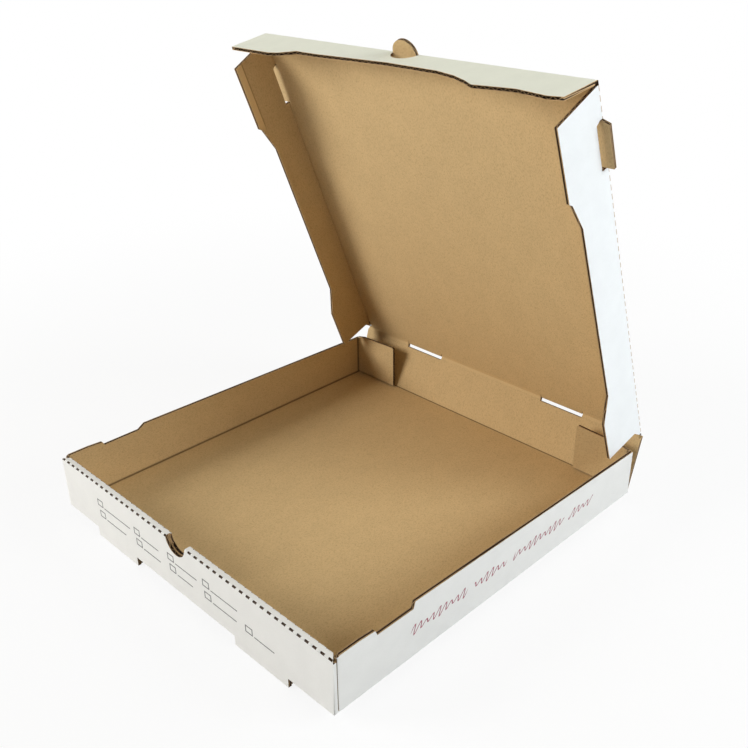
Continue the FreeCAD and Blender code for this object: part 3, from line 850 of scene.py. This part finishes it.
def deselect_all():
    if bpy.context.object and bpy.context.object.mode != "OBJECT":
        bpy.ops.object.mode_set(mode="OBJECT")
    bpy.ops.object.select_all(action="DESELECT")


def bent_plane(middle, length, reach, crease):
    """A plane that leans back along the crease's first panel, extruded along the second."""
    deselect_all()
    first, along = crease.first, crease.along
    turn = Matrix((along, first, along.cross(first))).transposed().to_4x4()
    bpy.ops.mesh.primitive_plane_add(size=1.0, location=(0, 0, 0))
    strip = bpy.context.object
    strip.matrix_world = (Matrix.Translation(middle + first * reach / 2)
                          @ turn @ Matrix.Diagonal((length, reach, 1, 1)))
    bpy.ops.object.transform_apply(location=True, rotation=True, scale=True)
    bpy.ops.object.mode_set(mode="EDIT")
    bpy.ops.mesh.select_mode(type="EDGE")
    bpy.ops.mesh.select_all(action="DESELECT")
    bpy.ops.object.mode_set(mode="OBJECT")
    for edge in strip.data.edges:
        ends = [strip.data.vertices[i].co for i in edge.vertices]
        edge.select = all(abs((end - middle).dot(first)) < 0.01 * MM for end in ends)
    bpy.ops.object.mode_set(mode="EDIT")
    bpy.ops.mesh.extrude_region_move(
        TRANSFORM_OT_translate={"value": tuple(crease.second * reach)})
    bpy.ops.mesh.select_all(action="SELECT")
    bpy.ops.mesh.subdivide(number_cuts=2)
    bpy.ops.mesh.normals_make_consistent(inside=False)
    bpy.ops.object.mode_set(mode="OBJECT")
    if sum(face.normal.dot(crease.inward) for face in strip.data.polygons) < 0:
        strip.data.flip_normals()
    return strip


def crease_strip(name, low, high, crease, sheet):
    """Kraft paper across the inside of a crease, which follows both panels."""
    corner, reach = crease.inner_corner(sheet)
    middle = corner + crease.along * (low + high) / 2 * MM
    strip = bent_plane(middle, (high - low) * MM, reach, crease)
    strip.name = name
    solid = strip.modifiers.new("paper", "SOLIDIFY")
    solid.thickness = STRIP_THICKNESS
    solid.offset = -1.0
    bpy.ops.object.modifier_apply(modifier="paper")
    strip.data.materials.append(paper_material(crease.paper))
    board = strip.data.attributes.new("board", "FLOAT_VECTOR", "CORNER")
    for loop in strip.data.loops:
        point = strip.data.vertices[loop.vertex_index].co - middle
        across = point.dot(crease.first) - point.dot(crease.second)
        board.data[loop.index].vector = (point.dot(crease.along), across, 0)
    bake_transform(strip)


def merged_copy(node_name, piece_name):
    """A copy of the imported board, with its loose triangles joined to one closed mesh."""
    piece = bpy.data.objects.new(piece_name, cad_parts[node_name].data.copy())
    bpy.context.scene.collection.objects.link(piece)
    deselect_all()
    piece.select_set(True)
    bpy.context.view_layer.objects.active = piece
    bpy.ops.object.mode_set(mode="EDIT")
    bpy.ops.mesh.select_mode(type="VERT")
    bpy.ops.mesh.select_all(action="SELECT")
    bpy.ops.mesh.remove_doubles(threshold=0.002 * MM)
    bpy.ops.mesh.tris_convert_to_quads(face_threshold=0.01, shape_threshold=0.5)
    bpy.ops.object.mode_set(mode="OBJECT")
    if not piece.data.polygons:
        raise RuntimeError("the board of %s has no faces" % node_name)
    return piece


def paper_on(face, panel, paper, node_name):
    """The paper of a face, where it isn't just the panel's own."""
    if node_name == "tray":
        if outer_bend(face):
            on_front = (face.center.z > WALL_TOP / 2
                        and face.center.y < -HALF_DEPTH + BEND_RADIUS)
            return "front" if on_front else "white"
        if front_dash(face):
            return "hollow"
        if paper == "kraft":
            on_flap = panel is PANELS["tray"][-1]
            return "turned" if on_flap and face.center.x > 0 else "tray"
    if paper == "kraft" and node_name == "lid_left_flap":
        return "crushed"
    if paper == "crease" and abs(face.normal.x) > 0.3:
        return "hollow"
    if paper == "cut" and node_name == "lid_front_flap":
        return "open"
    return paper


def dress_node(node_name, piece_name, sheet):
    """Puts a merged copy in the board's place, with its papers and its board places."""
    piece = merged_copy(node_name, piece_name)
    mesh = piece.data
    mesh.materials.clear()
    for title in PAPERS.values():
        mesh.materials.append(paper_material(title))
    while mesh.uv_layers:
        mesh.uv_layers.remove(mesh.uv_layers[0])
    slots = list(PAPERS)
    board = mesh.attributes.new("board", "FLOAT_VECTOR", "CORNER")
    for face in mesh.polygons:
        panel, paper = paper_of(face.center, face.normal, PANELS[node_name], sheet)
        face.material_index = slots.index(paper_on(face, panel, paper, node_name))
        for corner in face.loop_indices:
            point = mesh.vertices[mesh.loops[corner].vertex_index].co
            board.data[corner].vector = panel.place(point)
    bpy.ops.object.shade_smooth_by_angle(angle=math.radians(30))
    even = piece.modifiers.new("even normals", "WEIGHTED_NORMAL")
    even.keep_sharp = True
    even.weight = 100                       # large faces alone decide
    bpy.ops.object.modifier_apply(modifier="even normals")
    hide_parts(node_name)
    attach(piece, BODY[node_name])


def outer_bend(face):
    """Faces of the tray's rounded outer corners and of the strip's two bends."""
    x, y, z = face.center
    up = face.normal.z
    corner = CORNER_RADIUS + 0.1 * MM
    low_corner = abs(x) > HALF_WIDTH - corner and z < corner
    bends = (z > WALL_TOP - BEND_RADIUS - 0.05 * MM and abs(x) < HALF_WIDTH - 3 * MM
             and -HALF_DEPTH - MM < y < -HALF_DEPTH + DOUBLE_WALL + MM)
    slanted = 0.05 < abs(up) < 0.999 or bends and up > 0.9
    return (low_corner or bends) and slanted and abs(face.normal.x) < 0.99


def front_dash(face):
    """Walls of the short cuts along the two top creases of the front wall."""
    x, y, z = face.center
    on_top = (-HALF_DEPTH - MM < y < -HALF_DEPTH + 8 * MM and abs(x) < HALF_WIDTH - MM
              and WALL_TOP - DASH_DEPTH < z < WALL_TOP - 0.3 * MM)
    wall = max(abs(part) for part in face.normal) > 0.999 and face.normal.z < 0.9
    long_wall = abs(face.normal.y) > 0.9 and face.area > 20 * MM * MM
    beside_notch = abs(x - NOTCH_X) > NOTCH_RADIUS + 0.4 * MM
    return on_top and wall and beside_notch and not long_wall


# Operators

class DressOperator:
    """What the dressing operators share."""
    bl_options = {"REGISTER", "UNDO"}
    pieces = ()

    def execute(self, context):
        for node_name, piece_name in self.pieces:
            dress_node(node_name, piece_name, context.scene.box_board.sheet)
        return {"FINISHED"}


class OBJECT_OT_dress_tray(DressOperator, bpy.types.Operator):
    """Dresses the tray: white outside with tick boxes, kraft inside"""
    bl_idname = "object.dress_tray"
    bl_label = "Tray"
    pieces = (("tray", "tray_board"),)


class OBJECT_OT_dress_lid(DressOperator, bpy.types.Operator):
    """Dresses the rear wall and the lid's top"""
    bl_idname = "object.dress_lid"
    bl_label = "Lid and rear wall"
    pieces = (("rear_wall", "rear_wall_board"), ("lid", "lid_board"))


class OBJECT_OT_dress_lid_flaps(DressOperator, bpy.types.Operator):
    """Dresses the lid's front flap and its two side flaps"""
    bl_idname = "object.dress_lid_flaps"
    bl_label = "Lid flaps"
    pieces = (("lid_front_flap", "lid_front_flap_board"),
              ("lid_left_flap", "lid_left_flap_board"),
              ("lid_right_flap", "lid_right_flap_board"))


class OBJECT_OT_paper_creases(bpy.types.Operator):
    """Lays the kraft paper across the creases that turn"""
    bl_idname = "object.paper_box_creases"
    bl_label = "Creases"
    bl_options = {"REGISTER", "UNDO"}

    def execute(self, context):
        for crease in CREASES:
            for name, (low, high) in crease.strips.items():
                crease_strip(name, low, high, crease, context.scene.box_board.sheet)
        return {"FINISHED"}


class OBJECT_OT_set_stage(bpy.types.Operator):
    """Sets the floor, the lamps, the world and the camera"""
    bl_idname = "object.set_box_stage"
    bl_label = "Stage"
    bl_options = {"REGISTER", "UNDO"}

    def execute(self, context):
        stage = context.scene.box_stage
        add_floor(stage)
        for name, spot, size, power, tint in (
                ("front lamp", (-1.4, -1.7, 1.0), 1.2, stage.front_lamp, (1, 0.985, 0.95)),
                ("rear lamp", (1.5, 0.9, 1.0), 0.9, stage.rear_lamp, (0.94, 0.98, 1)),
                ("right lamp", (1.9, 0.2, 0.9), 1.0, stage.right_lamp, (0.94, 0.98, 1)),
                ("top lamp", (0, 0.1, 2.3), 1.8, stage.top_lamp, (1, 1, 0.88)),
                ("back lamp", (0.2, 2.0, 0.9), 1.2, stage.back_lamp, (1, 1, 1))):
            add_lamp(name, spot, size, power, tint)
        light_world(stage.ambient)
        add_camera(stage.lens)
        context.scene.view_settings.view_transform = "Standard"
        return {"FINISHED"}


FLOOR_RADIUS = 9.0
FLOOR_GAP = 0.3 * MM
FLOOR_WHITE = 0.87              # share of the floor's white near the box, in its shadow
FLOOR_NEAR = 0.35               # from this distance on, that share rises
FLOOR_FAR = 1.0                 # from this distance on, the floor is all white
AIM = Vector((0, 0, 0.15))
CAMERA_PLACE = (0.5340, -0.4975, 0.5077)
CAMERA_RIGHT = (0.70759, 0.70655, -0.00979)
CAMERA_BACK = (0.63090, -0.62547, 0.45907)


def seen_directly(tree):
    """1 for what the camera sees, also mirrored or through glass, and 0 for light."""
    path = add_node(tree, "ShaderNodeLightPath", (-900, 200))
    seen = reckon(tree, (-700, 200), "MAXIMUM", path.outputs["Is Camera Ray"],
                  path.outputs["Is Glossy Ray"])
    return reckon(tree, (-500, 200), "MAXIMUM", seen, path.outputs["Is Transmission Ray"])


def add_floor(stage):
    """A pale floor that keeps its shadow, and turns white away from the box."""
    deselect_all()
    bpy.ops.mesh.primitive_circle_add(vertices=96, radius=FLOOR_RADIUS, fill_type="NGON",
                                      location=(0, 0, 0))
    floor = bpy.context.object
    floor.name = "studio_floor"
    for point in floor.data.vertices:
        point.co.z = CAD_BOX[0][2] - FLOOR_GAP
    material = bpy.data.materials.new("studio floor")
    material.use_nodes = True
    tree = material.node_tree
    tree.nodes.remove(tree.nodes["Principled BSDF"])
    plain = add_node(tree, "ShaderNodeBsdfDiffuse", (-200, 0))
    plain.inputs["Color"].default_value = rgba(stage.floor)
    bright = add_node(tree, "ShaderNodeEmission", (-200, -200))
    bright.inputs["Color"].default_value = (1, 1, 1, 1)
    bright.inputs["Strength"].default_value = 1.0
    spot = add_node(tree, "ShaderNodeTexCoord", (-1100, -100)).outputs["Object"]
    far = add_node(tree, "ShaderNodeVectorMath", (-900, -100), operation="LENGTH")
    tree.links.new(spot, far.inputs[0])
    level = ramp(tree, (-700, -100), far.outputs["Value"], FLOOR_NEAR, FLOOR_FAR,
                 FLOOR_WHITE, 1.0)
    share = reckon(tree, (-200, 200), "MULTIPLY", seen_directly(tree), level)
    mix = add_node(tree, "ShaderNodeMixShader", (100, 0))
    tree.links.new(share, mix.inputs[0])
    tree.links.new(plain.outputs[0], mix.inputs[1])
    tree.links.new(bright.outputs[0], mix.inputs[2])
    tree.links.new(mix.outputs[0], tree.nodes["Material Output"].inputs["Surface"])
    floor.data.materials.append(material)


def add_lamp(name, spot, size, power, tint):
    data = bpy.data.lights.new(name, "AREA")
    data.shape = "DISK"
    data.size = size
    data.energy = power
    data.color = tint
    lamp = bpy.data.objects.new(name, data)
    bpy.context.scene.collection.objects.link(lamp)
    lamp.location = spot
    lamp.rotation_euler = (AIM - Vector(spot)).to_track_quat("-Z", "Y").to_euler()


def light_world(strength):
    world = bpy.data.worlds.new("studio")
    bpy.context.scene.world = world
    world.use_nodes = True
    tree = world.node_tree
    ground = tree.nodes["Background"]
    ground.inputs["Color"].default_value = (1, 1, 1, 1)
    level = reckon(tree, (-200, 0), "MULTIPLY_ADD", seen_directly(tree), 1.0 - strength,
                   strength)
    tree.links.new(level, ground.inputs["Strength"])


def add_camera(lens):
    data = bpy.data.cameras.new("camera")
    data.lens = lens
    data.sensor_width = 36.0
    data.sensor_fit = "HORIZONTAL"
    camera = bpy.data.objects.new("camera", data)
    bpy.context.scene.collection.objects.link(camera)
    right, back = Vector(CAMERA_RIGHT).normalized(), Vector(CAMERA_BACK).normalized()
    turn = Matrix((right, back.cross(right).normalized(), back)).transposed().to_4x4()
    camera.matrix_world = Matrix.Translation(CAMERA_PLACE) @ turn
    bpy.context.scene.camera = camera


class VIEW3D_PT_pizza_box(bpy.types.Panel):
    """The pizza box's settings and steps"""
    bl_label = "Pizza box"
    bl_idname = "VIEW3D_PT_pizza_box"
    bl_space_type = "VIEW_3D"
    bl_region_type = "UI"
    bl_category = "Pizza box"

    def draw(self, context):
        layout = self.layout
        for settings in (context.scene.box_board, context.scene.box_print,
                         context.scene.box_stage):
            part = layout.box()
            for name in settings.bl_rna.properties.keys():
                if name not in ("rna_type", "name"):
                    part.prop(settings, name)
        for step in STEPS:
            layout.operator(step.bl_idname)


STEPS = (OBJECT_OT_dress_tray, OBJECT_OT_dress_lid, OBJECT_OT_dress_lid_flaps,
         OBJECT_OT_paper_creases, OBJECT_OT_set_stage)
CLASSES = (BoardSettings, PrintSettings, StageSettings, *STEPS, VIEW3D_PT_pizza_box)


def register():
    for item in CLASSES:
        bpy.utils.register_class(item)
    bpy.types.Scene.box_board = PointerProperty(type=BoardSettings)
    bpy.types.Scene.box_print = PointerProperty(type=PrintSettings)
    bpy.types.Scene.box_stage = PointerProperty(type=StageSettings)


def unregister():
    del bpy.types.Scene.box_board
    del bpy.types.Scene.box_print
    del bpy.types.Scene.box_stage
    for item in reversed(CLASSES):
        bpy.utils.unregister_class(item)


def main():
    register()
    bpy.ops.object.dress_tray()
    bpy.ops.object.dress_lid()
    bpy.ops.object.dress_lid_flaps()
    bpy.ops.object.paper_box_creases()
    bpy.ops.object.set_box_stage()


if __name__ == "__main__":
    main()
